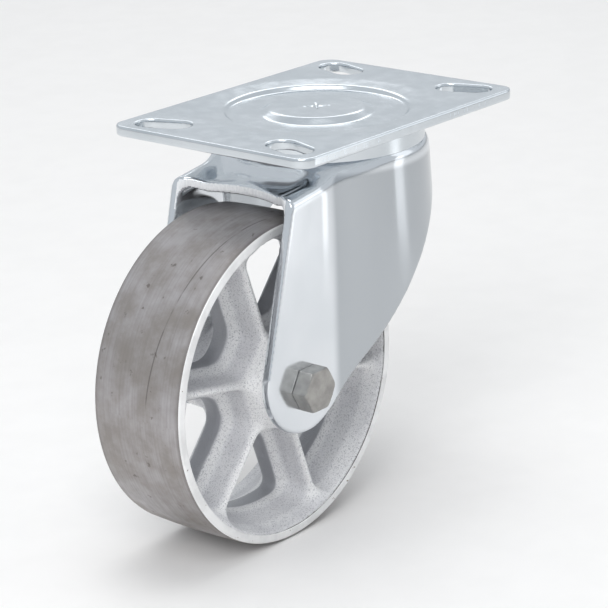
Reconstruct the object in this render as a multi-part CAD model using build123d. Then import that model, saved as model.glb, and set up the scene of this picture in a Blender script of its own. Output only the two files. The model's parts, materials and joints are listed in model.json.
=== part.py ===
from build123d import *
from math import asin, atan2, cos, degrees, pi, radians, sin, sqrt
import os

# Swivel plate caster with a spoked cast-iron wheel.
# Origin: centre of the plate's mounting face. +Z up, the swivel axis is Z.
# The axle is parallel to Y and trails the swivel axis towards -X. Millimetres.

INCH = 25.4

# ---- top plate -----------------------------------------------------------
plate_length = 6.25 * INCH
plate_width = 4.5 * INCH
sheet = 3 / 16 * INCH
plate_corner = 8.0
bolt_inner = (4.9375 * INCH / 2, 2.4375 * INCH / 2)
bolt_outer = (5.25 * INCH / 2, 3.375 * INCH / 2)
slot_radius = 9 / 32 * INCH
# pressed rings, as (radius, drop of the top face)
boss_radius = 22.0
boss_drop = 0.2
trough_inner = 27.0
trough_outer = 41.5
trough_drop = 2.6
dish_inner = 43.5
dish_inner_drop = 0.7
dish_outer = 54.0
punch_length = 8.0
punch_width = 1.6
punch_depth = 0.7

# ---- swivel section ------------------------------------------------------
running_gap = 0.05
body_gap = 0.3
crown_top = -14.5
shroud_radius = 49.8
shroud_bore = 45.0
kingpin_radius = 9.5
kingpin_head_radius = 18.0
kingpin_head_thickness = 4.0
kingpin_end = -47.0
kingpin_hole_radius = 11.5
upper_ball_radius = 3 / 16 * INCH
upper_ball_circle = 34.5
upper_ball_height = -11.2
upper_ball_count = 22
lower_ball_radius = 5 / 32 * INCH
lower_ball_circle = 19.0
lower_ball_height = -22.2
lower_ball_count = 14
race_cap_radius = 27.0
race_cap_top = -24.6
race_cap_thickness = 5.0
kingpin_nut_flats = 1.125 * INCH
kingpin_nut_thickness = 12.0
cotter_radius = 1.5

# ---- yoke ----------------------------------------------------------------
wall_radius = 50.0
wall_centre_top = 1.5
wall_lean = 0.118
leg_gap = 2.4375 * INCH
crease_radius = 3.0
cup_radius = 47.0
cup_edge_radius = 2.5
shoulder_radius = 4.5
brow_radius = 3.0
web_bend_radius = 4.0
far_rear = -100.0
slope_headroom = 12.0
shoulder_top = -20.5
shoulder_slope_start = -8.0
shoulder_slope_end = -31.0
web_top = -28.0
web_half_width = 21.0
web_slope_half_width = 28.0
rear_edge_middle = -51.0
rear_edge_sides = -63.0
yoke_bottom = -140.0
leg_rear_top = (-62.0, -25.0)
leg_end_radius = 26.4
leg_end_rise = 4.9
lower_edge_angle = 51.0
front_skirt_bottom = -34.0
front_skirt_blend = 20.0

# ---- wheel and axle ------------------------------------------------------
wheel_radius = 3.0 * INCH
wheel_width = 2.0 * INCH
overall_height = 7.5 * INCH
swivel_lead = 2.1875 * INCH
tread_crown = 0.7
tread_edge = 1.2
rim_face = 4.8
rim_inner_middle = 64.5
web_half = 4.5
hub_radius = 21.5
hub_length = 55.6
spoke_count = 6
spoke_angle = 50.0
spoke_half_width = 8.0
window_outer = 61.5
window_inner = 29.0
window_corner = 6.0
rib_end = 70.5
rib_width = 5.0
rib_height_near = 20.0
rib_height_far = 10.0
axle_radius = 0.25 * INCH
axle_head_flats = 0.75 * INCH
axle_head_height = 8.0
axle_nut_height = 11.0
axle_thread_end = 4.0
washer_thickness = 3.0
washer_radius = 10.6
bushing_radius = 0.375 * INCH
roller_radius = 3 / 32 * INCH
roller_count = 12
roller_length = 38.0
cage_length = 46.0
cage_wall = 1.6
sleeve_wall = 1.5
sleeve_length = 48.0
hub_cap_thickness = 1.5
hub_cap_radius = 18.0
thrust_washer_radius = 20.0
fitting_thread_radius = 3.0
fitting_hex_flats = 8.0
fitting_angle = 20.0

# ---- worked out from the values above --------------------------------------
axle_x = -swivel_lead
axle_z = wheel_radius - overall_height
leg_inner = leg_gap / 2
leg_outer = leg_inner + sheet
roller_circle = bushing_radius + running_gap + roller_radius
sleeve_bore = roller_circle + roller_radius + running_gap
sleeve_radius = sleeve_bore + sleeve_wall
race_cap_bottom = race_cap_top - race_cap_thickness
nut_bottom = race_cap_bottom - kingpin_nut_thickness


def across_y(shape):
    """Stands a shape made along Z from its middle on the axle line."""
    return Pos(axle_x, 0, axle_z) * Rot(-90, 0, 0) * shape


def ring(outer, inner, low, high):
    """A plain ring about Z between two heights."""
    height = high - low
    blank = Pos(0, 0, low) * Cylinder(outer, height, align=(Align.CENTER, Align.CENTER, Align.MIN))
    hole = Pos(0, 0, low - 1) * Cylinder(inner, height + 2, align=(Align.CENTER, Align.CENTER, Align.MIN))
    return blank - hole


def rod(radius, low, high):
    """A plain cylinder about Z between two heights."""
    return Pos(0, 0, low) * Cylinder(radius, high - low, align=(Align.CENTER, Align.CENTER, Align.MIN))


def hexagon(flats, low, high):
    """A hexagonal prism about Z with its corners chamfered at the high end."""
    prism = Pos(0, 0, low) * extrude(RegularPolygon(flats / 2, 6, major_radius=False), high - low)
    corner = flats / 2 / cos(pi / 6)
    cone_height = (corner - flats / 2 + 0.6) * 2
    cone = Pos(0, 0, high - cone_height / 2) * Cone(corner + 0.3, flats / 2 - 0.6, cone_height)
    keep = rod(corner + 0.3, low, high - cone_height) + cone if high - cone_height > low else cone
    return prism & keep


def spun(points):
    """A solid of revolution about Z from (radius, height) corners."""
    outline = Polyline(*[(r, 0, z) for r, z in points], close=True)
    return revolve(make_face(outline), Axis.Z)


# ---- top plate -------------------------------------------------------------
def press_profile(offset):
    """The pressed rings' section, from the axis out to the flat, moved down by offset."""
    return [
        (0, -boss_drop - offset),
        (boss_radius, -boss_drop - offset),
        (trough_inner, -trough_drop - offset),
        (trough_outer, -trough_drop - offset),
        (dish_inner, -dish_inner_drop - offset),
        (dish_outer, -offset),
    ]


def slot_cut(sign_x, sign_y):
    """One plate slot, running from the inner bolt place to the outer one."""
    inner = (sign_x * bolt_inner[0], sign_y * bolt_inner[1])
    outer = (sign_x * bolt_outer[0], sign_y * bolt_outer[1])
    length = sqrt((outer[0] - inner[0]) ** 2 + (outer[1] - inner[1]) ** 2)
    turn = degrees(atan2(outer[1] - inner[1], outer[0] - inner[0]))
    middle = ((inner[0] + outer[0]) / 2, (inner[1] + outer[1]) / 2)
    outline = Rot(0, 0, turn) * SlotCenterToCenter(length, 2 * slot_radius)
    return extrude(Pos(middle[0], middle[1], -2 * sheet) * outline, 3 * sheet)


def make_top_plate():
    blank = Pos(0, 0, -sheet) * extrude(RectangleRounded(plate_length, plate_width, plate_corner), sheet)
    above = spun(press_profile(0) + [(dish_outer, 1), (0, 1)])
    below = spun(press_profile(sheet) + [(dish_outer, -sheet + 0.5), (0, -sheet + 0.5)])
    plate = blank + below - above
    groove = Pos(0, 0, upper_ball_height) * Torus(upper_ball_circle, upper_ball_radius + running_gap)
    plate -= groove
    for sign_x in (-1, 1):
        for sign_y in (-1, 1):
            plate -= slot_cut(sign_x, sign_y)
    for turn in (45, 135):
        plate -= Pos(0, 0, -boss_drop) * Rot(0, 0, turn) * Box(punch_length, punch_width, 2 * punch_depth)
    return plate


# ---- swivel section ----------------------------------------------------------
def make_kingpin():
    head_top = -boss_drop - sheet
    head = rod(kingpin_head_radius, head_top - kingpin_head_thickness, head_top)
    shank = rod(kingpin_radius, kingpin_end, head_top)
    pin = head + chamfer(shank.edges().sort_by(Axis.Z)[0], 1.2)
    return pin - cotter_hole()


def cotter_hole():
    """The cross hole below the kingpin nut that its cotter passes through."""
    height = (nut_bottom + kingpin_end) / 2
    return Pos(0, 0, height) * Rot(0, 90, 0) * Cylinder(cotter_radius, 40)


def make_cotter():
    """A straight pin through the kingpin, with its eye at one end."""
    height = (nut_bottom + kingpin_end) / 2
    pin = Pos(1, 0, height) * Rot(0, 90, 0) * Cylinder(cotter_radius, 26)
    eye = Pos(15, 0, height) * Rot(90, 0, 0) * (Cylinder(2.5, 2.4) - Cylinder(1.2, 4))
    return pin + eye


def make_shroud():
    """The ring under the plate that closes the load-ball race off from dirt."""
    band = ring(shroud_radius, shroud_bore, crown_top + body_gap, -sheet)
    return band - spun(press_profile(sheet) + [(dish_outer, 0), (0, 0)])


def ball_row(circle, height, radius, count):
    balls = []
    for i in range(count):
        turn = 2 * pi * i / count
        balls.append(Pos(circle * cos(turn), circle * sin(turn), height) * Sphere(radius))
    return Compound(children=balls)


def make_upper_balls():
    return ball_row(upper_ball_circle, upper_ball_height, upper_ball_radius, upper_ball_count)


def make_lower_balls():
    return ball_row(lower_ball_circle, lower_ball_height, lower_ball_radius, lower_ball_count)


def make_lower_race():
    cap = ring(race_cap_radius, kingpin_radius, race_cap_bottom, race_cap_top)
    groove = Pos(0, 0, lower_ball_height) * Torus(lower_ball_circle, lower_ball_radius + running_gap)
    return chamfer(cap.edges().filter_by(GeomType.CIRCLE).sort_by(Axis.Z)[0:1], 0.8) - groove


def make_kingpin_nut():
    nut = Rot(180, 0, 0) * hexagon(kingpin_nut_flats, -race_cap_bottom, -nut_bottom)
    return nut - rod(kingpin_radius, nut_bottom - 1, race_cap_bottom + 1)


# ---- yoke ----------------------------------------------------------------------
def yoke_section(height, inset, rear):
    """The yoke's plan outline at one height: two flat sides joined by a round front wall."""
    centre = wall_centre_top + wall_lean * (crown_top - height)
    wall = wall_radius - inset
    side = leg_outer - inset
    crease = crease_radius + inset
    crease_x = centre - sqrt((wall + crease) ** 2 - (side + crease) ** 2)
    to_crease = atan2(side + crease, crease_x - centre)
    meet_x = centre + wall * cos(to_crease)
    meet_y = wall * sin(to_crease)
    middle = (to_crease + pi + pi / 2 + pi) / 2
    bulge_x = crease_x + crease * cos(middle)
    bulge_y = side + crease + crease * sin(middle)
    lines = [
        Line((rear, -side, height), (crease_x, -side, height)),
        ThreePointArc((crease_x, -side, height), (bulge_x, -bulge_y, height), (meet_x, -meet_y, height)),
        ThreePointArc((meet_x, -meet_y, height), (centre + wall, 0, height), (meet_x, meet_y, height)),
        ThreePointArc((meet_x, meet_y, height), (bulge_x, bulge_y, height), (crease_x, side, height)),
        Line((crease_x, side, height), (rear, side, height)),
        Line((rear, side, height), (rear, -side, height)),
    ]
    return make_face(lines)


def side_prism(points_and_arcs, half_width):
    """A prism across Y from a closed outline in the XZ plane."""
    return extrude(make_face(points_and_arcs), half_width, both=True)


def yoke_side_outline():
    """The yoke seen from the side: slanted rear edge, round leg end, long straight lower edge."""
    centre_x, centre_z = axle_x, axle_z + leg_end_rise
    top_x, top_z = leg_rear_top
    reach = sqrt((centre_x - top_x) ** 2 + (centre_z - top_z) ** 2)
    lean = atan2(centre_z - top_z, centre_x - top_x) - asin(leg_end_radius / reach)
    rear_x = centre_x + leg_end_radius * cos(lean - pi / 2)
    rear_z = centre_z + leg_end_radius * sin(lean - pi / 2)
    start_x = top_x + (crown_top + 5 - top_z) / sin(lean) * cos(lean)
    rise = radians(lower_edge_angle)
    low_x = centre_x + leg_end_radius * sin(rise)
    low_z = centre_z - leg_end_radius * cos(rise)
    turn_x = low_x + (front_skirt_bottom - low_z) / sin(rise) * cos(rise)
    back = front_skirt_blend * (1 - cos(rise)) / sin(rise)
    blend_x = turn_x - back * cos(rise)
    blend_z = front_skirt_bottom - back * sin(rise)
    end_x = turn_x + back
    half = pi / 2 + rise / 2
    mid_x = end_x + front_skirt_blend * cos(half)
    mid_z = front_skirt_bottom - front_skirt_blend + front_skirt_blend * sin(half)
    low_point = (centre_x - 3, 0, centre_z - sqrt(leg_end_radius**2 - 9))
    front = wall_radius + 30
    top = crown_top + 5
    return [
        Line((start_x, 0, top), (rear_x, 0, rear_z)),
        ThreePointArc((rear_x, 0, rear_z), low_point, (low_x, 0, low_z)),
        Line((low_x, 0, low_z), (blend_x, 0, blend_z)),
        ThreePointArc((blend_x, 0, blend_z), (mid_x, 0, mid_z), (end_x, 0, front_skirt_bottom)),
        Line((end_x, 0, front_skirt_bottom), (front, 0, front_skirt_bottom)),
        Line((front, 0, front_skirt_bottom), (front, 0, top)),
        Line((front, 0, top), (start_x, 0, top)),
    ]


def rounded_top(block, height, radius):
    """Rounds the edges round the top of a block, all but the one across its open rear."""
    edges = []
    for edge in block.edges():
        start, end = edge @ 0, edge @ 1
        at_top = abs(start.Z - height) < 0.01 and abs(end.Z - height) < 0.01
        flat = abs(start.X - end.X) + abs(start.Y - end.Y) > 0.01
        if at_top and flat and max(start.X, end.X) > far_rear + 1:
            edges.append(edge)
    return fillet(edges, radius)


def drawn_block(top, inset, radius):
    """The yoke's outline drawn down from one height, with a rounded edge if it has a radius."""
    rear = far_rear - inset
    low = yoke_bottom - inset
    block = loft([yoke_section(top - inset, inset, rear), yoke_section(low, inset, rear)], ruled=True)
    return rounded_top(block, top - inset, radius) if radius else block


def sloped_block(inset, radius, front_end, rear_end):
    """The same outline under a slope that falls rearwards between two (x, height) places."""
    rise = (front_end[1] - rear_end[1]) / (front_end[0] - rear_end[0])
    start = Vector(front_end[0], 0, front_end[1] - inset * sqrt(1 + rise**2))
    block = drawn_block(crown_top + slope_headroom, inset, 0)
    front = wall_radius + 30
    rear = far_rear - inset - 5
    above = [
        (rear, 0, start.Z + (rear - start.X) * rise),
        (front, 0, start.Z + (front - start.X) * rise),
        (front, 0, start.Z + front * rise + 40),
        (rear, 0, start.Z + front * rise + 40),
    ]
    block -= extrude(make_face(Polyline(*above, close=True)), 80, both=True)
    if not radius:
        return block
    edges = []
    for edge in block.edges():
        ends = (edge @ 0, edge @ 1)
        off = [abs(point.Z - start.Z - (point.X - start.X) * rise) for point in ends]
        if max(off) < 0.01 and abs(ends[0].X - ends[1].X) > 0.01:
            edges.append(edge)
    return fillet(edges, radius)


def between_x(start, end):
    """Everything the yoke could reach between two places along X."""
    room = Box(end - start, 4 * wall_radius, 2 * wall_radius - yoke_bottom)
    return Pos((start + end) / 2, 0, yoke_bottom / 2) * room


def yoke_block(inset, radius):
    """The pressed form of crown and legs, as a solid inset from the outside by a distance."""
    crown_end = (shoulder_slope_start, crown_top)
    leg_start = (shoulder_slope_end, shoulder_top)
    crown = drawn_block(crown_top, inset, radius)
    slope = sloped_block(inset, radius, crown_end, leg_start)
    legs = sloped_block(inset, radius, leg_start, leg_rear_top)
    block = crown & between_x(shoulder_slope_start, 2 * wall_radius)
    block += slope & between_x(shoulder_slope_end, shoulder_slope_start)
    return block + (legs & between_x(2 * far_rear, shoulder_slope_end))


def web_trough(inset, brow_radius, floor_radius):
    """The hollow between the legs, above the pressed-down web, as a prism behind the slope."""
    shoulder = shoulder_top - inset
    floor_half = web_half_width + inset / 2
    brow_half = web_slope_half_width + inset / 2
    points = [
        (-80, shoulder),
        (-brow_half, shoulder),
        (-floor_half, web_top - inset),
        (floor_half, web_top - inset),
        (brow_half, shoulder),
        (80, shoulder),
    ]
    rear = far_rear - inset - 5
    corners = [(rear, y, z) for y, z in points]
    floor = FilletPolyline(*corners, radius=[brow_radius, floor_radius, floor_radius, brow_radius])
    lid = Polyline(corners[-1], (rear, 80, 5), (rear, -80, 5), corners[0])
    outline = make_face([*floor.edges(), *lid.edges()])
    return extrude(outline, shoulder_slope_end - rear, dir=(1, 0, 0))


def make_yoke():
    cup = rod(cup_radius, web_top - sheet, crown_top)
    cup = fillet(cup.edges().filter_by(GeomType.CIRCLE).sort_by(Axis.Z)[-1], cup_edge_radius)
    outer = yoke_block(0, shoulder_radius) - web_trough(0, brow_radius, web_bend_radius) + cup
    hollow = rod(cup_radius - sheet, web_top - sheet - 1, crown_top - sheet)
    inner = yoke_block(sheet, 0) - web_trough(sheet, brow_radius - 1, web_bend_radius - 1) + hollow
    yoke = (outer - inner) & side_prism(yoke_side_outline(), 80)
    # the web's rear edge is a shallow arc between the legs
    drop = rear_edge_middle - rear_edge_sides
    arc_radius = (leg_inner**2 + drop**2) / (2 * drop)
    behind = Pos(rear_edge_middle - arc_radius, 0, 0) * rod(arc_radius, -45, 5)
    yoke -= behind & (Pos(rear_edge_middle - arc_radius, 0, 0) * Box(3 * arc_radius, leg_gap, 200))
    yoke -= rod(kingpin_hole_radius, -60, 5)
    yoke -= Pos(0, 0, upper_ball_height) * Torus(upper_ball_circle, upper_ball_radius + running_gap)
    yoke -= Pos(0, 0, lower_ball_height) * Torus(lower_ball_circle, lower_ball_radius + running_gap)
    return yoke - across_y(Cylinder(axle_radius + running_gap, 200))


# ---- wheel -----------------------------------------------------------------------
def window():
    """One opening between two spokes: sides along the spokes, round corners."""
    half = radians(180 / spoke_count)
    outer = window_outer
    side_out = asin(spoke_half_width / outer)
    side_in = asin(spoke_half_width / window_inner)
    corners = [
        (window_inner * cos(half - side_in), -window_inner * sin(half - side_in)),
        (outer * cos(half - side_out), -outer * sin(half - side_out)),
        (outer * cos(half - side_out), outer * sin(half - side_out)),
        (window_inner * cos(half - side_in), window_inner * sin(half - side_in)),
    ]
    lines = [
        Line(corners[0], corners[1]),
        ThreePointArc(corners[1], (outer, 0), corners[2]),
        Line(corners[2], corners[3]),
        Line(corners[3], corners[0]),
    ]
    face = make_face(lines)
    face = fillet(face.vertices(), window_corner)
    return extrude(face, 3 * web_half, both=True)


def make_wheel():
    half = wheel_width / 2
    edge = wheel_radius - tread_crown
    rim = [
        (rim_inner_middle, web_half + 2.5),
        (edge - rim_face, half),
        (edge - tread_edge, half),
        (edge, half - tread_edge),
        (wheel_radius, 0),
    ]
    outline = rim + [(r, -z) for r, z in reversed(rim[:-1])]
    wheel = spun(outline) + rod(rim_inner_middle + 1, -web_half, web_half)
    wheel += rod(hub_radius, -hub_length / 2, hub_length / 2)
    for i in range(spoke_count):
        turn = Rot(0, 0, spoke_angle + 360 / spoke_count * i)
        size = (rib_end, rib_width, rib_height_near + rib_height_far)
        rib = Box(*size, align=(Align.MIN, Align.CENTER, Align.MIN))
        wheel += turn * Pos(0, 0, -rib_height_far) * rib
    for i in range(spoke_count):
        turn = Rot(0, 0, spoke_angle + 360 / spoke_count * (i + 0.5))
        wheel -= turn * window()
    wheel -= rod(sleeve_radius, -half * 2, half * 2)
    recess = hub_cap_thickness + 0.5
    for low, high in ((hub_length / 2 - recess, half * 2), (-half * 2, recess - hub_length / 2)):
        wheel -= rod(hub_cap_radius, low, high)
    # the tapped hole of the hub's grease fitting
    wheel -= fitting_place() * rod(fitting_thread_radius, -10, 10)
    return wheel_spin_frame(wheel)


def wheel_spin_frame(shape):
    """Puts a shape made about Z on the axle, its X towards +X and its Y towards +Z."""
    return Pos(axle_x, 0, axle_z) * Rot(90, 0, 0) * shape


def fitting_place():
    """Where the hub's grease fitting sits, in the wheel's own frame."""
    return Rot(0, 0, fitting_angle) * Pos(hub_radius, 0, web_half + 7) * Rot(0, 90, 0)


def make_fitting():
    """A straight grease fitting with its seat at height zero, its thread below."""
    thread = rod(fitting_thread_radius, -3, 0)
    body = extrude(RegularPolygon(fitting_hex_flats / 2, 6, major_radius=False), 3)
    neck = rod(2.1, 3, 7)
    nose = spun([(0, 5), (3.1, 5.6), (3.1, 7), (2.2, 8.6), (0, 8.6)])
    return thread + body + neck + nose


def make_wheel_fitting():
    return wheel_spin_frame(fitting_place() * make_fitting())


def make_bearing_sleeve():
    return wheel_spin_frame(ring(sleeve_radius, sleeve_bore, -sleeve_length / 2, sleeve_length / 2))


def make_hub_cap(side):
    """A pressed ring that holds the rollers in at one end of the hub."""
    high = hub_length / 2
    cap = ring(hub_cap_radius, bushing_radius + 0.6, high - hub_cap_thickness, high)
    return wheel_spin_frame(Rot(0 if side > 0 else 180, 0, 0) * cap)


def make_rollers():
    rollers = []
    for i in range(roller_count):
        turn = 2 * pi * i / roller_count
        place = Pos(roller_circle * cos(turn), roller_circle * sin(turn), 0)
        rollers.append(wheel_spin_frame(place * Cylinder(roller_radius, roller_length)))
    return Compound(children=rollers)


def make_cage():
    """A tube with one window for each roller."""
    outer = roller_circle + cage_wall / 2
    inner = roller_circle - cage_wall / 2
    cage = ring(outer, inner, -cage_length / 2, cage_length / 2)
    for i in range(roller_count):
        turn = 2 * pi * i / roller_count
        place = Pos(roller_circle * cos(turn), roller_circle * sin(turn), 0)
        cage -= place * Cylinder(roller_radius + running_gap, roller_length + 2 * running_gap)
    return wheel_spin_frame(cage)


def make_bushing():
    return wheel_spin_frame(ring(bushing_radius, axle_radius + running_gap, -leg_inner, leg_inner))


def make_thrust_washer(side):
    """A flat washer between the hub's end and the leg."""
    low = hub_length / 2 + body_gap
    washer = ring(thrust_washer_radius, bushing_radius + running_gap, low, leg_inner)
    return wheel_spin_frame(Rot(0 if side > 0 else 180, 0, 0) * washer)


# ---- axle --------------------------------------------------------------------------
def make_axle_bolt():
    """The head is on the -Y side, which is +Z in the wheel's own frame."""
    head = hexagon(axle_head_flats, leg_outer, leg_outer + axle_head_height)
    end = -leg_outer - washer_thickness - axle_nut_height - axle_thread_end
    shank = rod(axle_radius, end, leg_outer + 1)
    shank = chamfer(shank.edges().sort_by(Axis.Z)[0], 1.0)
    return wheel_spin_frame(head + shank)


def make_lock_washer():
    """A split spring washer under the nut."""
    low = -leg_outer - washer_thickness
    washer = ring(washer_radius, axle_radius + running_gap, low, -leg_outer)
    gap = Pos(washer_radius, 0, -leg_outer - washer_thickness / 2) * Rot(25, 0, 0)
    return wheel_spin_frame(washer - gap * Box(2 * (washer_radius - axle_radius) + 3, 1.6, 12))


def make_axle_nut():
    low = leg_outer + washer_thickness
    nut = Rot(180, 0, 0) * hexagon(axle_head_flats, low, low + axle_nut_height)
    return wheel_spin_frame(nut - rod(axle_radius, -low - axle_nut_height - 1, -low + 1))


def write(name, shape):
    shape.label = name
    export_step(shape, f"parts/{name}.step")


def main():
    os.makedirs("parts", exist_ok=True)
    write("top_plate", make_top_plate())
    write("kingpin", make_kingpin())
    write("kingpin_cotter", make_cotter())
    write("kingpin_nut", make_kingpin_nut())
    write("race_shroud", make_shroud())
    write("lower_race", make_lower_race())
    write("upper_load_balls", make_upper_balls())
    write("lower_thrust_balls", make_lower_balls())
    write("yoke", make_yoke())
    write("axle_bolt", make_axle_bolt())
    write("axle_lock_washer", make_lock_washer())
    write("axle_nut", make_axle_nut())
    write("axle_bushing", make_bushing())
    write("thrust_washer_near", make_thrust_washer(1))
    write("thrust_washer_far", make_thrust_washer(-1))
    write("roller_cage", make_cage())
    write("bearing_rollers", make_rollers())
    write("bearing_sleeve", make_bearing_sleeve())
    write("hub_cap_near", make_hub_cap(1))
    write("hub_cap_far", make_hub_cap(-1))
    write("wheel", make_wheel())
    write("wheel_grease_fitting", make_wheel_fitting())


main()
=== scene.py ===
import json
from math import asin, atan2, cos, hypot, pi, radians, sin

import bpy
import numpy as np
import openvdb
from mathutils import Matrix, Vector


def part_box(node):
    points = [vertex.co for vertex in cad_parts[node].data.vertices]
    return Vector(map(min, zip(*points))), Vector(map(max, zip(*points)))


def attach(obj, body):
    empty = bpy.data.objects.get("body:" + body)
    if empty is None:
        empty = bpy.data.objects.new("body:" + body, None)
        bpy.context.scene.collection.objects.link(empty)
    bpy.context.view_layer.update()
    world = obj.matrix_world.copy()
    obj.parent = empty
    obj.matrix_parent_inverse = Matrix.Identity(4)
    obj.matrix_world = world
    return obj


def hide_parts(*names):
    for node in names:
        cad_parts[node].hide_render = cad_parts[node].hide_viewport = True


# Looks of a swivel plate caster with a spoked cast-iron wheel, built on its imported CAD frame.
# Everything is in metres in the CAD's own frame: +Z up, the swivel axis is Z.

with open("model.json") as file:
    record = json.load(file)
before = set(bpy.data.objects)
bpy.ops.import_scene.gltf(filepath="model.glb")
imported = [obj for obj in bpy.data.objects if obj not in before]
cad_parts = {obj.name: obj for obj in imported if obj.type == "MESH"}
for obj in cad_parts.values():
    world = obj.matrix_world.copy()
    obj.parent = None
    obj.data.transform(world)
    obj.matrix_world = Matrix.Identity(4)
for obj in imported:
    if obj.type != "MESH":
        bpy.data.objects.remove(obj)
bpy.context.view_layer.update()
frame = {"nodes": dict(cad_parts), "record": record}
nodes = frame["nodes"]
MM = 0.001

wheel_low, wheel_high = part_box("wheel")
wheel_centre = (wheel_low + wheel_high) / 2
wheel_radius = (wheel_high.z - wheel_low.z) / 2
floor_height = wheel_low.z


# ---- camera, floor and light -------------------------------------------------
def make_camera():
    """A long lens at the photograph's angle, a little above the plate."""
    target = Vector((-0.030, 0.0, -0.090))
    distance = 1.2
    azimuth, elevation, roll = radians(-49.9), radians(18.4), radians(-1.7)
    back = Vector((sin(azimuth) * cos(elevation), -cos(azimuth) * cos(elevation), sin(elevation)))
    right = Vector((cos(azimuth), sin(azimuth), 0.0))
    up = back.cross(right)
    side = right * cos(roll) + up * sin(roll)
    top = up * cos(roll) - right * sin(roll)
    data = bpy.data.cameras.new("camera")
    data.sensor_width = 36.0
    data.lens = 152.9
    data.shift_x = 0.038
    data.shift_y = 0.005
    data.clip_start = 0.05
    data.clip_end = 50.0
    camera = bpy.data.objects.new("camera", data)
    turn = Matrix((side, top, back)).transposed()
    camera.matrix_world = Matrix.Translation(target + back * distance) @ turn.to_4x4()
    bpy.context.scene.collection.objects.link(camera)
    bpy.context.scene.camera = camera


def make_floor():
    """A plain pale floor that the wheel stands on."""
    mesh = bpy.data.meshes.new("floor")
    reach = 9.0
    corners = [(-reach, -reach), (reach, -reach), (reach, reach), (-reach, reach)]
    mesh.from_pydata([(x, y, floor_height) for x, y in corners], [], [(0, 1, 2, 3)])
    floor = bpy.data.objects.new("floor", mesh)
    bpy.context.scene.collection.objects.link(floor)
    material, tree, shader = new_material("floor_paper")
    cloud = noise(tree, 40.0, 3)
    paint(tree, shader, "Base Color", cloud, (0.915, 0.905, 0.895), (0.93, 0.92, 0.91))
    shader.inputs["Roughness"].default_value = 0.9
    mesh.materials.append(material)


def soft_light(name, place, aim, width, height, power, mirrored=True):
    """A rectangular light aimed at a place; an unmirrored one doesn't show in bright metal."""
    data = bpy.data.lights.new(name, "AREA")
    data.shape = "RECTANGLE"
    data.size = width
    data.size_y = height
    data.energy = power
    light = bpy.data.objects.new(name, data)
    light.location = place
    light.rotation_euler = (Vector(aim) - Vector(place)).to_track_quat("-Z", "Y").to_euler()
    light.visible_camera = False
    light.visible_glossy = mirrored
    bpy.context.scene.collection.objects.link(light)


def make_lights():
    """An even pale room with soft lights round the object."""
    world = bpy.data.worlds.new("studio")
    bpy.context.scene.world = world
    world.use_nodes = True
    tree = world.node_tree
    shade = tree.nodes["Background"]
    shade.inputs["Color"].default_value = (0.80, 0.84, 0.88, 1.0)
    # the room lights dull surfaces less than it shows in bright ones
    seen_strength, lit_strength = 0.84, 0.42
    dull = node(tree, "ShaderNodeLightPath").outputs["Is Diffuse Ray"]
    inputs = {"Value": dull, "To Min": seen_strength, "To Max": lit_strength}
    strength = node(tree, "ShaderNodeMapRange", inputs)
    tree.links.new(strength.outputs["Result"], shade.inputs["Strength"])
    plate_top, front_wall, middle = (0, 0, 0), (0, 0, -0.07), (0, 0, -0.1)
    floor_behind = (0.4, 0.5, -0.2)
    # name, place, aim, width and height in metres, power in watts
    soft_light("key", (-1.3, -0.9, 1.5), middle, 1.2, 1.2, 13.0)
    soft_light("left", (-1.5, -0.45, 0.75), middle, 0.9, 0.9, 8.0, mirrored=False)
    soft_light("right", (1.3, -1.1, 0.7), middle, 0.8, 1.4, 2.0)
    soft_light("back", (1.45, 1.22, 1.2), plate_top, 1.5, 0.5, 4.0)
    soft_light("top", (0.1, 0.1, 2.3), middle, 1.0, 1.0, 9.0)
    soft_light("fill", (0.5, 0.7, 2.4), floor_behind, 2.6, 2.6, 24.0, mirrored=False)
    soft_light("strip", (0.27, -0.38, -0.07), front_wall, 0.10, 0.24, 0.05)
    bpy.context.scene.view_settings.view_transform = "Standard"


# ---- materials -----------------------------------------------------------------
def node(tree, kind, inputs=None, **settings):
    """Adds a node; an input given as a socket is linked, anything else is its value."""
    made = tree.nodes.new(kind)
    for name, value in settings.items():
        setattr(made, name, value)
    for name, value in (inputs or {}).items():
        if isinstance(value, bpy.types.NodeSocket):
            tree.links.new(value, made.inputs[name])
        else:
            made.inputs[name].default_value = value
    return made


def new_material(name):
    material = bpy.data.materials.new(name)
    material.use_nodes = True
    tree = material.node_tree
    return material, tree, tree.nodes["Principled BSDF"]


def place(tree, scale=(1.0, 1.0, 1.0)):
    """The surface's own coordinates, in metres, scaled along each axis."""
    own = node(tree, "ShaderNodeTexCoord").outputs["Object"]
    return node(tree, "ShaderNodeMapping", {"Vector": own, "Scale": scale}).outputs["Vector"]


def own_place(tree):
    """The three parts of a point's own place, in metres."""
    own = node(tree, "ShaderNodeTexCoord").outputs["Object"]
    return node(tree, "ShaderNodeSeparateXYZ", {0: own}).outputs


def noise(tree, scale, detail=4.0, stretch=(1.0, 1.0, 1.0), rough=0.55):
    """Soft noise from 0 to 1; scale is in lumps per metre."""
    where = place(tree, stretch)
    inputs = {"Vector": where, "Scale": scale, "Detail": detail, "Roughness": rough}
    return node(tree, "ShaderNodeTexNoise", inputs).outputs["Fac"]


def maths(tree, operation, one, other=0.0):
    """One step of arithmetic between two sockets or numbers."""
    return node(tree, "ShaderNodeMath", {0: one, 1: other}, operation=operation).outputs[0]


def product(tree, one, other):
    return maths(tree, "MULTIPLY", one, other)


def size_of(tree, value):
    """A value without its sign."""
    return maths(tree, "ABSOLUTE", value)


def ramp(tree, value, low, high, start=0.0, end=1.0):
    """Carries a value from the range low to high over to start to end."""
    made = node(
        tree,
        "ShaderNodeMapRange",
        {"Value": value, "From Min": low, "From Max": high, "To Min": start, "To Max": end},
        interpolation_type="SMOOTHSTEP",
    )
    return made.outputs["Result"]


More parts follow.
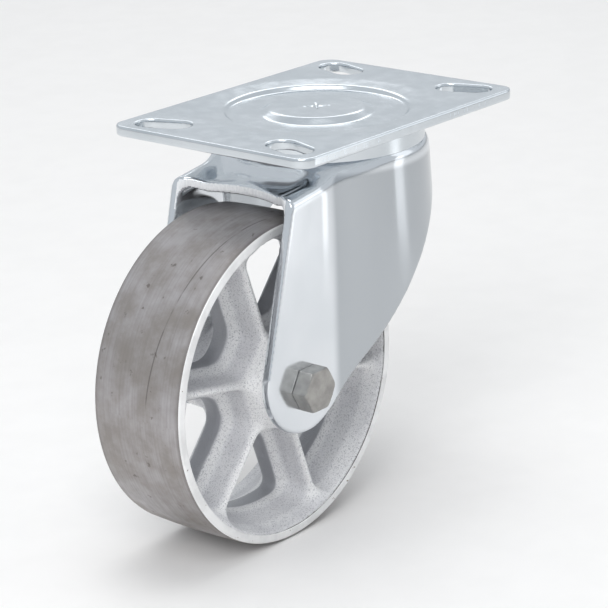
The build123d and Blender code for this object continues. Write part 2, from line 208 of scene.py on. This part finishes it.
def mix(tree, share, one, other):
    """The first colour where the share is 0 and the other where it is 1."""
    made = node(tree, "ShaderNodeMix", data_type="RGBA")
    share_socket, one_socket, other_socket = made.inputs[0], made.inputs[6], made.inputs[7]
    for socket, value in ((share_socket, share), (one_socket, one), (other_socket, other)):
        if isinstance(value, bpy.types.NodeSocket):
            tree.links.new(value, socket)
        elif isinstance(value, tuple):
            socket.default_value = (*value, 1.0)
        else:
            socket.default_value = value
    return made.outputs[2]


def blotch(tree, value, one, other):
    """Two colours that run into each other as a noise value rises."""
    return mix(tree, ramp(tree, value, 0.3, 0.7), one, other)


def paint(tree, shader, socket, value, one, other):
    tree.links.new(blotch(tree, value, one, other), shader.inputs[socket])


def roughen(tree, shader, value, low, high):
    """Sets the roughness between low and high as a noise value rises."""
    tree.links.new(ramp(tree, value, 0.3, 0.7, low, high), shader.inputs["Roughness"])


def band(tree, value, start, full, hold, end, share):
    """A share of a value between start and end, at its full from full to hold."""
    rise = ramp(tree, value, start, full)
    fall = ramp(tree, value, end, hold, 0.0, share)
    return product(tree, rise, fall)


def bump(tree, shader, height, distance, strength=1.0, under=None):
    """Small relief from a height value; a bump under it adds to it."""
    made = node(tree, "ShaderNodeBump", {"Height": height, "Distance": distance, "Strength": strength})
    if under is not None:
        tree.links.new(under, made.inputs["Normal"])
    tree.links.new(made.outputs["Normal"], shader.inputs["Normal"])
    return made.outputs["Normal"]


def zinc(name, dark, bright, rough_low, rough_high):
    """Bright zinc plating over pressed sheet."""
    material, tree, shader = new_material(name)
    shader.inputs["Metallic"].default_value = 1.0
    paint(tree, shader, "Base Color", noise(tree, 30.0, 3.0), dark, bright)
    roughen(tree, shader, noise(tree, 160.0, 4.0, (1.0, 1.0, 0.35)), rough_low, rough_high)
    bump(tree, shader, noise(tree, 240.0, 2.0), 0.03 * MM, 0.12)
    return material


def yoke_zinc(name):
    """Zinc plating, with painted shade on the round front wall below the crown; the flat legs and
    crown keep the bright tone.
    """
    material, tree, shader = new_material(name)
    shader.inputs["Metallic"].default_value = 1.0
    tone = blotch(tree, noise(tree, 30.0, 3.0), (0.69, 0.72, 0.75), (0.735, 0.76, 0.79))
    spot = own_place(tree)
    # painted shade: off the legs' plane or in front of them, and below the crown's shoulder, the zinc
    # tone is darkened
    outside = ramp(tree, size_of(tree, spot["Y"]), leg_outer + 0.4 * MM, leg_outer + 1.6 * MM)
    front = ramp(tree, spot["X"], 20 * MM, 34 * MM)
    below = ramp(tree, spot["Z"], crown_top - 4.5 * MM, crown_top - 7.5 * MM)
    painted_wall_shade = product(tree, maths(tree, "MAXIMUM", outside, front), below)
    tree.links.new(mix(tree, painted_wall_shade, tone, (0.46, 0.485, 0.51)), shader.inputs["Base Color"])
    roughen(tree, shader, noise(tree, 90.0, 4.0, (1.0, 1.0, 0.15)), 0.10, 0.20)
    bump(tree, shader, noise(tree, 240.0, 2.0), 0.03 * MM, 0.10)
    return material


def sheared_zinc(name):
    """The matt, streaked edge of sheared and plated sheet."""
    material, tree, shader = new_material(name)
    shader.inputs["Metallic"].default_value = 0.35
    streak = noise(tree, 1200.0, 3.0, (1.0, 1.0, 0.3))
    paint(tree, shader, "Base Color", streak, (0.84, 0.85, 0.87), (0.95, 0.96, 0.97))
    roughen(tree, shader, noise(tree, 500.0, 3.0), 0.40, 0.55)
    bump(tree, shader, streak, 0.05 * MM, 0.3)
    return material


def steel(name, dark, bright, rough_low, rough_high):
    """Plain turned or rolled steel."""
    material, tree, shader = new_material(name)
    shader.inputs["Metallic"].default_value = 1.0
    paint(tree, shader, "Base Color", noise(tree, 120.0, 5.0), dark, bright)
    roughen(tree, shader, noise(tree, 420.0, 3.0), rough_low, rough_high)
    bump(tree, shader, noise(tree, 1400.0, 3.0), 0.03 * MM, 0.4)
    return material


def wheel_place(tree):
    """A point's place from the wheel's centre: along X, along the axle, and up."""
    own = node(tree, "ShaderNodeTexCoord").outputs["Object"]
    inputs = {0: own, 1: tuple(wheel_centre)}
    shift = node(tree, "ShaderNodeVectorMath", inputs, operation="SUBTRACT")
    return node(tree, "ShaderNodeSeparateXYZ", {0: shift.outputs[0]}).outputs


def cast_paint(name):
    """Silver paint over sand-cast iron, with painted shade in the window walls and on the rib flanks,
    and painted highlights along the window edges and on the rib crests.
    """
    material, tree, shader = new_material(name)
    shader.inputs["Metallic"].default_value = 0.25
    sand = noise(tree, 1500.0, 3.0, rough=0.75)
    patch = noise(tree, 45.0, 4.0)
    spot = wheel_place(tree)
    flat = node(tree, "ShaderNodeCombineXYZ", {0: spot["X"], 1: spot["Z"]}).outputs[0]
    radius = node(tree, "ShaderNodeVectorMath", {0: flat}, operation="LENGTH").outputs["Value"]
    # how far a point is from the middle plane, a little uneven, so that no band runs dead straight
    up = maths(tree, "ADD", size_of(tree, spot["Y"]), product(tree, patch, 1.2 * MM))
    base = mix(tree, ramp(tree, patch, 0.35, 0.65), (0.80, 0.80, 0.82), (0.93, 0.93, 0.94))
    # painted shade: the window walls near the middle plane are darkened to dark grey
    wall = ramp(tree, up, 5.4 * MM, 4.4 * MM, 0.0, 0.72)
    base = mix(tree, wall, base, (0.20, 0.21, 0.24))
    # painted highlight: a near-white band along the window edges
    lip_highlight = band(tree, up, 5.0 * MM, 6.0 * MM, 7.4 * MM, 9.2 * MM, 0.75)
    base = mix(tree, lip_highlight, base, (0.97, 0.97, 0.97))
    # painted shade: the rib flanks are greyed
    flank_shade = band(tree, up, 8.0 * MM, 10.5 * MM, 16.0 * MM, 18.5 * MM, 0.30)
    base = mix(tree, flank_shade, base, (0.50, 0.50, 0.53))
    # painted highlight: near-white rib crests, inside the rim only
    inside_rim = ramp(tree, radius, 69 * MM, 66 * MM, 0.0, 0.9)
    crest_highlight = product(tree, ramp(tree, up, 17.8 * MM, 19.4 * MM), inside_rim)
    base = mix(tree, crest_highlight, base, (0.97, 0.97, 0.97))
    grain = ramp(tree, sand, 0.34, 0.50, 0.25, 1.0)
    tree.links.new(mix(tree, grain, (0.36, 0.36, 0.39), base), shader.inputs["Base Color"])
    roughen(tree, shader, patch, 0.34, 0.48)
    coarse = bump(tree, shader, noise(tree, 420.0, 3.0), 0.5 * MM, 0.6)
    bump(tree, shader, sand, 0.5 * MM, 0.9, coarse)
    return material


def tread_iron(name):
    """Bare turned iron: taupe, streaked round the wheel, stained in patches, dark at its edges."""
    material, tree, shader = new_material(name)
    shader.inputs["Metallic"].default_value = 0.55
    spot = wheel_place(tree)
    side = spot["Y"]
    angle = maths(tree, "ARCTAN2", spot["Z"], spot["X"])
    around = node(tree, "ShaderNodeCombineXYZ", {0: product(tree, side, 900.0), 1: angle})
    inputs = {"Vector": around.outputs[0], "Scale": 1.0, "Detail": 4.0}
    lines = node(tree, "ShaderNodeTexNoise", inputs).outputs["Fac"]
    patch = noise(tree, 38.0, 6.0, rough=0.62)
    base = mix(tree, ramp(tree, patch, 0.32, 0.68), (0.285, 0.262, 0.245), (0.445, 0.428, 0.440))
    base = mix(tree, ramp(tree, lines, 0.35, 0.75, 0.0, 0.35), base, (0.24, 0.22, 0.21))
    spots = noise(tree, 170.0, 3.0, rough=0.6)
    base = mix(tree, ramp(tree, spots, 0.64, 0.72, 0.0, 0.7), base, (0.13, 0.11, 0.10))
    # a long scratch that drifts across the tread as it goes round
    drift = maths(tree, "ADD", side, product(tree, angle, -6 * MM))
    off = size_of(tree, maths(tree, "ADD", drift, 24.5 * MM))
    worn = ramp(tree, noise(tree, 60.0, 2.0), 0.38, 0.5)
    scratch = product(tree, ramp(tree, off, 0.45 * MM, 0.2 * MM), worn)
    base = mix(tree, product(tree, scratch, 0.6), base, (0.10, 0.085, 0.08))
    edge = ramp(tree, size_of(tree, side), 22.5 * MM, 25.0 * MM, 0.0, 0.65)
    base = mix(tree, edge, base, (0.17, 0.155, 0.15))
    tree.links.new(base, shader.inputs["Base Color"])
    roughen(tree, shader, noise(tree, 200.0, 3.0), 0.40, 0.55)
    bump(tree, shader, lines, 0.08 * MM, 0.4)
    return material


def rim_iron(name):
    """The rim's painted side face: nearly white, its edges chipped to brown iron."""
    material, tree, shader = new_material(name)
    shader.inputs["Metallic"].default_value = 0.30
    patch = ramp(tree, noise(tree, 70.0, 4.0), 0.35, 0.65)
    tone = mix(tree, patch, (0.80, 0.80, 0.80), (0.93, 0.93, 0.93))
    chips = ramp(tree, noise(tree, 300.0, 4.0, rough=0.7), 0.67, 0.71)
    tree.links.new(mix(tree, chips, tone, (0.22, 0.17, 0.13)), shader.inputs["Base Color"])
    roughen(tree, shader, noise(tree, 500.0, 3.0), 0.35, 0.50)
    bump(tree, shader, noise(tree, 700.0, 3.0), 0.1 * MM, 0.4)
    return material


# ---- mesh making ------------------------------------------------------------------
def solid(name, points, faces, material, body, replaced):
    """A visible piece that rides on a body and stands for one CAD node."""
    mesh = bpy.data.meshes.new(name)
    mesh.from_pydata([tuple(p) for p in points], [], [tuple(f) for f in faces])
    mesh.validate()
    mesh.shade_smooth()
    mesh.materials.append(material)
    piece = bpy.data.objects.new(name, mesh)
    bpy.context.scene.collection.objects.link(piece)
    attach(piece, body)
    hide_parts(replaced)
    return piece


def from_field(low, high, step, field):
    """Points and faces of the surface where the field is zero; the field is negative inside."""
    axes = [np.arange(low[i] - 2 * step, high[i] + 3 * step, step) for i in range(3)]
    across, along = np.meshgrid(axes[1], axes[2], indexing="ij")
    values = np.empty([len(a) for a in axes], np.float32)
    for i, x in enumerate(axes[0]):
        values[i] = field(np.full_like(across, x), across, along)
    reach = 4 * step
    grid = openvdb.FloatGrid(reach)
    grid.copyFromArray(np.clip(values, -reach, reach))
    points, quads = grid.convertToQuads(isovalue=0.0)
    points = points * step + np.array([a[0] for a in axes])
    a, b, c = (points[quads[:, i]] for i in (0, 1, 2))
    if np.einsum("ij,ij->", a, np.cross(b, c)) < 0:
        quads = quads[:, ::-1]
    return points, quads


def soft_min(a, b, reach):
    """The smaller of two fields, rounded where they meet."""
    near = np.clip(0.5 + 0.5 * (b - a) / reach, 0.0, 1.0)
    return b + (a - b) * near - reach * near * (1.0 - near)


def soft_max(a, b, reach):
    """The larger of two fields, rounded where they meet."""
    return -soft_min(-a, -b, reach)


def lathe(profile, segments):
    """Points and faces of a closed (radius, offset) profile spun about the wheel's axle line."""
    points, faces = [], []
    count = len(profile)
    for i in range(segments):
        turn = 2 * pi * i / segments
        for radius, offset in profile:
            points.append((
                wheel_centre.x + radius * cos(turn),
                wheel_centre.y + offset,
                wheel_centre.z + radius * sin(turn),
            ))
    for i in range(segments):
        here, there = i * count, (i + 1) % segments * count
        for j in range(count):
            k = (j + 1) % count
            faces.append((here + j, here + k, there + k, there + j))
    return points, faces


# ---- sizes read from the frame ------------------------------------------------------
def ball_row_size(node_name):
    """Pitch circle, height and groove radius, with a running gap, of a row of balls."""
    low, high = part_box(node_name)
    radius = (high.z - low.z) / 2
    running_gap = 0.05 * MM
    return high.x - radius, (low.z + high.z) / 2, radius + running_gap


def bolt_place(mount_name):
    """Place of the bolt in the plate's +X +Y quarter, and the radius of its hole."""
    named = {mount["name"]: mount["dims"] for mount in frame["record"]["mounts"]}
    dims = named[mount_name]
    place_xy = (dims["spacing_x_mm"] / 2 * MM, dims["spacing_y_mm"] / 2 * MM)
    return place_xy, dims["hole_r_mm"] * MM


plate_low, plate_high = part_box("top_plate")
yoke_low, yoke_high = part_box("yoke")
bolt_low, bolt_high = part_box("axle_bolt")
ball_circle, ball_height, ball_radius = ball_row_size("upper_load_balls")
lower_circle, lower_height, lower_radius = ball_row_size("lower_thrust_balls")
slot_start, slot_radius = bolt_place("plate_bolts_inner")
slot_end = bolt_place("plate_bolts_outer")[0]
sleeve_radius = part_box("bearing_sleeve")[1].z - wheel_centre.z

sheet = 4.7625 * MM  # 3/16 in
leg_inner = abs(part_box("axle_bushing")[0].y)
leg_outer = leg_inner + sheet
crown_top = yoke_high.z


# ---- mounting plate -----------------------------------------------------------------
plate_corner = 8 * MM
plate_edge_round = 0.9 * MM


def pressed_height(r):
    """Height of the plate's top face at a radius: centre boss, ball trough, dished rim."""
    # in millimetres, and rounded by a blur of the same width everywhere
    step, blur_steps = 0.1, 13
    corners = [0.0, 22.0, 27.0, 41.5, 43.6, 54.0, 70.0]
    heights = [-0.2, -0.2, -2.6, -2.6, -0.9, 0.0, 0.0]
    radius = np.arange(0.0, corners[-1], step)
    sharp = np.interp(radius, corners, heights)
    spread = np.hanning(2 * blur_steps + 1)
    padded = np.pad(sharp, blur_steps, mode="edge")
    smooth = np.convolve(padded, spread / spread.sum(), mode="valid")
    return np.interp(r, radius * MM, smooth * MM)


def round_box(x, y, half_x, half_y, corner):
    """Distance to a rectangle with round corners."""
    over_x = np.abs(x) - (half_x - corner)
    over_y = np.abs(y) - (half_y - corner)
    outside = np.hypot(np.maximum(over_x, 0.0), np.maximum(over_y, 0.0))
    return outside + np.minimum(np.maximum(over_x, over_y), 0.0) - corner


def capsule(x, y, start, end, radius):
    """Distance to a straight slot between two places."""
    run = (end[0] - start[0], end[1] - start[1])
    share = ((x - start[0]) * run[0] + (y - start[1]) * run[1]) / (run[0] ** 2 + run[1] ** 2)
    share = np.clip(share, 0.0, 1.0)
    return np.hypot(x - start[0] - share * run[0], y - start[1] - share * run[1]) - radius


def centre_mark(x, y, z):
    """A small cross punched in the middle of the plate, shallower towards its tips."""
    arm, half_width, taper, floor = 4.2 * MM, 0.5 * MM, 0.09, -1.3 * MM
    cross = np.minimum(
        capsule(x, y, (-arm, -arm), (arm, arm), half_width),
        capsule(x, y, (-arm, arm), (arm, -arm), half_width),
    )
    return soft_max(cross + taper * np.hypot(x, y), floor - z, 0.6 * MM)


def plate_field(x, y, z):
    """Pressed sheet with four slanted slots, a centre mark and the groove for the balls."""
    r = np.hypot(x, y)
    top = pressed_height(r)
    slab = np.maximum(z - top, top - sheet - z)
    outline = round_box(x, y, plate_high.x, plate_high.y, plate_corner)
    plate = soft_max(slab, outline, plate_edge_round)
    slot = capsule(np.abs(x), np.abs(y), slot_start, slot_end, slot_radius)
    plate = soft_max(plate, -slot, plate_edge_round)
    plate = soft_max(plate, -centre_mark(x, y, z), 0.8 * MM)
    groove = np.hypot(r - ball_circle, z - ball_height) - ball_radius
    return np.maximum(plate, -groove)


def make_plate(material):
    top = (plate_high.x, plate_high.y, 0.0)
    points, quads = from_field(plate_low, top, 0.55 * MM, plate_field)
    return solid("plate_pressed", points, quads, material, "mount", "top_plate")


# ---- yoke -----------------------------------------------------------------------------
sheet_edge_round = 1.3 * MM
leg_end_radius = 26.4 * MM
leg_end_centre = (wheel_centre.x, wheel_centre.z + 4.9 * MM)
leg_rear_top = (-62.0 * MM, -25.0 * MM)
leg_front_rise = radians(51.0)
skirt_height = -34.0 * MM
skirt_round = 9 * MM
wall_radius = 50.0 * MM
wall_forward = 1.5 * MM
wall_lean = 0.118
cup_radius = 46.5 * MM
web_rear = 51.0 * MM
web_arc = 45.94 * MM
web_lowest = -45 * MM
kingpin_hole = 11.5 * MM
axle_hole = 6.4 * MM


def smooth_step(share):
    """Rises from 0 to 1 as a share does, level at both ends."""
    share = np.clip(share, 0.0, 1.0)
    return share * share * (3 - 2 * share)


def leg_outline(x, z):
    """Distance to the yoke's side view: slanted rear edge, round end, long straight lower edge."""
    centre, end, top = leg_end_centre, leg_end_radius, leg_rear_top
    reach = hypot(centre[0] - top[0], centre[1] - top[1])
    lean = atan2(centre[1] - top[1], centre[0] - top[0]) - asin(end / reach)
    rise = leg_front_rise
    down_rear = (cos(lean), sin(lean))
    down_front = (-cos(rise), -sin(rise))
    out_rear = (sin(lean), -cos(lean))
    out_front = (sin(rise), -cos(rise))
    dx, dz = x - centre[0], z - centre[1]
    rear = dx * out_rear[0] + dz * out_rear[1] - end
    front = dx * out_front[0] + dz * out_front[1] - end
    front = soft_min(front, skirt_height - z, skirt_round)
    below_rear = dx * down_rear[0] + dz * down_rear[1] > 0
    below_front = dx * down_front[0] + dz * down_front[1] > 0
    return np.where(below_rear & below_front, np.hypot(dx, dz) - end, np.maximum(rear, front))


def crown_height(x, side):
    """Height of the yoke's top: it falls towards the rear and is dished between the shoulders."""
    rearward = [8 * MM, 14 * MM, 31 * MM, 62 * MM]
    drop = np.interp(-x, rearward, [0.0, 0.9 * MM, 6.0 * MM, 10.5 * MM])
    dish_depth = 12.3 * MM
    between = smooth_step((30.0 * MM - side) / (10.5 * MM))
    behind = smooth_step((-22.0 * MM - x) / (14.0 * MM))
    return crown_top - drop - (dish_depth - drop) * between * behind


def yoke_skin(x, y, z):
    """Distance to the yoke's outer skin: round front wall, flat legs, crown and cup."""
    side = np.abs(y)
    centre = wall_forward + wall_lean * (crown_top - z)
    wall = np.hypot(x - centre, y) - wall_radius
    legs = np.maximum(side - leg_outer, x - centre)
    plan = soft_min(wall, legs, 3.5 * MM)
    # the crown slopes, so its height difference overstates the distance a little
    above = (z - crown_height(x, side)) * 0.97
    body = soft_max(plan, above, 5.5 * MM)
    cup = soft_max(np.hypot(x, y) - cup_radius, z - crown_top, 7.0 * MM)
    return soft_min(body, cup, 9.0 * MM)


def web_edge(x, y):
    """Distance to the shallow arc that the web's rear edge follows between the legs."""
    return np.hypot(x + web_rear + web_arc, y) - web_arc


def yoke_field(x, y, z):
    """The skin at the sheet's thickness, cut to its side view and bored for balls and pins."""
    skin = yoke_skin(x, y, z)
    body = np.maximum(skin, -skin - sheet)
    body = soft_max(body, leg_outline(x, z), sheet_edge_round)
    notch = np.maximum(np.maximum(web_edge(x, y), np.abs(y) - leg_inner), web_lowest - z)
    body = soft_max(body, -notch, sheet_edge_round)
    r = np.hypot(x, y)
    body = np.maximum(body, kingpin_hole - r)
    body = np.maximum(body, ball_radius - np.hypot(r - ball_circle, z - ball_height))
    body = np.maximum(body, lower_radius - np.hypot(r - lower_circle, z - lower_height))
    axle = axle_hole - np.hypot(x - wheel_centre.x, z - wheel_centre.z)
    return np.maximum(body, np.where(np.abs(y) > 20 * MM, axle, -1.0))


def make_yoke(material, edge_material):
    """The pressed fork, with the web's sheared rear edge in a material of its own."""
    points, quads = from_field(yoke_low, yoke_high, 0.75 * MM, yoke_field)
    piece = solid("yoke_pressed", points, quads, material, "fork", "yoke")
    piece.data.materials.append(edge_material)
    centres = points[quads].mean(axis=1)
    x, y, z = centres.T
    depth = -yoke_skin(x, y, z)
    rounding = 0.8 * MM
    sheared = (depth > rounding) & (depth < sheet - rounding)
    sheared &= np.abs(web_edge(x, y)) < 1.0 * MM
    sheared &= (np.abs(y) < leg_inner + 1 * MM) & (z > web_lowest)
    piece.data.polygons.foreach_set("material_index", sheared.astype(np.int32))
    return piece


# ---- wheel ----------------------------------------------------------------------------
web_half = 4.5 * MM
web_out = 69 * MM
hub_radius = 21.5 * MM
hub_half = 27.8 * MM
rim_half = 25.4 * MM
rim_inner = 64.6 * MM
rim_outer = 72 * MM
rim_draft = 0.315
rim_face = 4.8 * MM
spoke_angle = radians(50.0)
spoke_half = 8.0 * MM
rib_half = 20.0 * MM
far_rib_half = 10.0 * MM
rib_out = 70 * MM
window_in = 28.3 * MM
window_out = 62.5 * MM
cast_fillet = 8.0 * MM


def rim_inside(y):
    """Radius of the rim's drafted inner surface at a distance from the middle plane."""
    return rim_inner + np.maximum(np.abs(y) - 6 * MM, 0.0) * rim_draft


def wheel_field(x, y, z):
    """Hub, web with six windows, ribs and the rim's inside, run together with cast fillets."""
    dx, dz = x - wheel_centre.x, z - wheel_centre.z
    r = np.hypot(dx, dz)
    up = np.abs(y)
    sector = pi / 3
    turn = np.arctan2(dz, dx) - spoke_angle
    off_spoke = np.abs((turn + sector / 2) % sector - sector / 2)
    off_window = sector / 2 - off_spoke
    beside_spoke = r * np.sin(off_spoke)
    # the window between two spokes, with round corners
    side = spoke_half - beside_spoke
    inn = window_in - r * np.cos(off_window)
    window = soft_max(soft_max(side, r - window_out, 6 * MM), inn, 7 * MM)
    web = np.maximum(up - web_half, r - web_out)
    # the thin rib on each face of a spoke, thicker at its foot
    reach = np.where(y < 0, rib_half, far_rib_half)
    rib_thickness = 1.3 * MM + 0.12 * (reach - up)
    rib = soft_max(beside_spoke - rib_thickness, up - reach, 2.0 * MM)
    rib = np.maximum(rib, r - rib_out)
    hub_here = hub_radius + 0.9 * MM - 0.05 * up
    hub = soft_max(r - hub_here, up - hub_half, 2.0 * MM)
    rim = np.maximum(rim_inside(y) - r, r - rim_outer)
    body = soft_min(web, rib, cast_fillet)
    body = soft_min(body, hub, cast_fillet)
    body = soft_min(body, rim, cast_fillet)
    body = soft_max(body, -window, 3.0 * MM)
    body = np.maximum(body, up - hub_half)
    # outside the hub the casting ends just inside the turned rim's side faces
    beyond_hub = r > 45 * MM
    body = np.maximum(body, np.where(beyond_hub, up - rim_half + 0.45 * MM, -1.0))
    return np.maximum(body, sleeve_radius - r)


def make_casting(material):
    """Hub, web, ribs and the rim's inside."""
    reach = rim_outer + 1 * MM
    low = (wheel_centre.x - reach, -hub_half, wheel_centre.z - reach)
    high = (wheel_centre.x + reach, hub_half, wheel_centre.z + reach)
    points, quads = from_field(low, high, 0.9 * MM, wheel_field)
    return solid("wheel_casting", points, quads, material, "wheel", "wheel")


def make_rim(tread_material, face_material):
    """The turned tread, a little crowned, and the rim's two side faces."""
    edge = wheel_radius - 0.7 * MM
    inside = (-24.9 * MM, -6 * MM, 6 * MM, 24.9 * MM)
    hidden = [(float(rim_inside(y)) + 0.8 * MM, y) for y in inside]
    half = [
        (edge - rim_face + 0.5 * MM, 25.15 * MM),
        (edge - rim_face + 0.8 * MM, rim_half),
        (edge - 1.3 * MM, rim_half),
        (edge - 0.7 * MM, rim_half - 0.2 * MM),
        (edge - 0.2 * MM, rim_half - 0.7 * MM),
        (edge, rim_half - 1.4 * MM),
        (edge + 0.5 * MM, rim_half * 0.5),
    ]
    profile = hidden + half + [(wheel_radius, 0.0)] + [(r, -y) for r, y in reversed(half)]
    points, faces = lathe(profile, 256)
    rim = solid("wheel_rim", points, faces, tread_material, "wheel", "wheel")
    rim.data.materials.append(face_material)
    for polygon in rim.data.polygons:
        if abs(polygon.normal.y) > 0.6:
            polygon.material_index = 1
    rim.data.set_sharp_from_angle(angle=radians(35))
    return rim


# ---- axle bolt --------------------------------------------------------------------------
hex_half = 9.525 * MM
shank_radius = 6.3 * MM


def bolt_field(x, y, z):
    """Hex head with a small chamfer, outside the near leg, and the shank through to the far side."""
    dx, dz = x - wheel_centre.x, z - wheel_centre.z
    r = np.hypot(dx, dz)
    flats = np.full_like(r, -1.0)
    for i in range(6):
        turn = radians(30.0 + 60.0 * i)
        flats = np.maximum(flats, dx * cos(turn) + dz * sin(turn) - hex_half)
    out = bolt_low.y - y
    head = np.maximum(np.maximum(flats, out), y + leg_outer)
    chamfer = (r + out * 1.7 - 9.9 * MM) * 0.5
    head = soft_max(head, chamfer, 0.3 * MM)
    shank = np.maximum(np.maximum(r - shank_radius, bolt_low.y + 4 * MM - y), y - bolt_high.y)
    point = (r + (y - bolt_high.y) - 5.5 * MM) * 0.7
    return np.minimum(head, np.maximum(shank, point))


def make_bolt(material):
    points, quads = from_field(bolt_low, bolt_high, 0.35 * MM, bolt_field)
    piece = solid("bolt_hex", points, quads, material, "fork", "axle_bolt")
    piece.data.set_sharp_from_angle(angle=radians(28))
    return piece


def main():
    make_camera()
    make_floor()
    make_lights()
    plate_zinc = zinc("zinc_plate", (0.62, 0.66, 0.69), (0.68, 0.715, 0.745), 0.15, 0.24)
    fork_zinc = yoke_zinc("zinc_yoke")
    fastener = steel("fastener_steel", (0.30, 0.29, 0.28), (0.42, 0.41, 0.39), 0.34, 0.50)
    inner = steel("inner_steel", (0.22, 0.22, 0.23), (0.34, 0.34, 0.35), 0.30, 0.45)
    ball = steel("bearing_steel", (0.62, 0.63, 0.65), (0.70, 0.71, 0.73), 0.08, 0.16)
    brass = steel("fitting_brass", (0.60, 0.50, 0.30), (0.70, 0.60, 0.38), 0.25, 0.40)
    cast = cast_paint("cast_wheel_paint")
    finish_of = {
        "zinc_plate": plate_zinc,
        "zinc_yoke": fork_zinc,
        "fastener": fastener,
        "inner_steel": inner,
        "bearing_steel": ball,
        "fitting_brass": brass,
        "cast_wheel": cast,
    }
    for part in frame["record"]["subparts"]:
        shape = nodes[part["node"]]
        shape.data.materials.clear()
        shape.data.materials.append(finish_of[part["material_slot"]])
    make_casting(cast)
    make_rim(tread_iron("tread_iron"), rim_iron("rim_face_iron"))
    make_bolt(fastener)
    make_plate(plate_zinc)
    make_yoke(fork_zinc, sheared_zinc("zinc_yoke_edge"))


main()
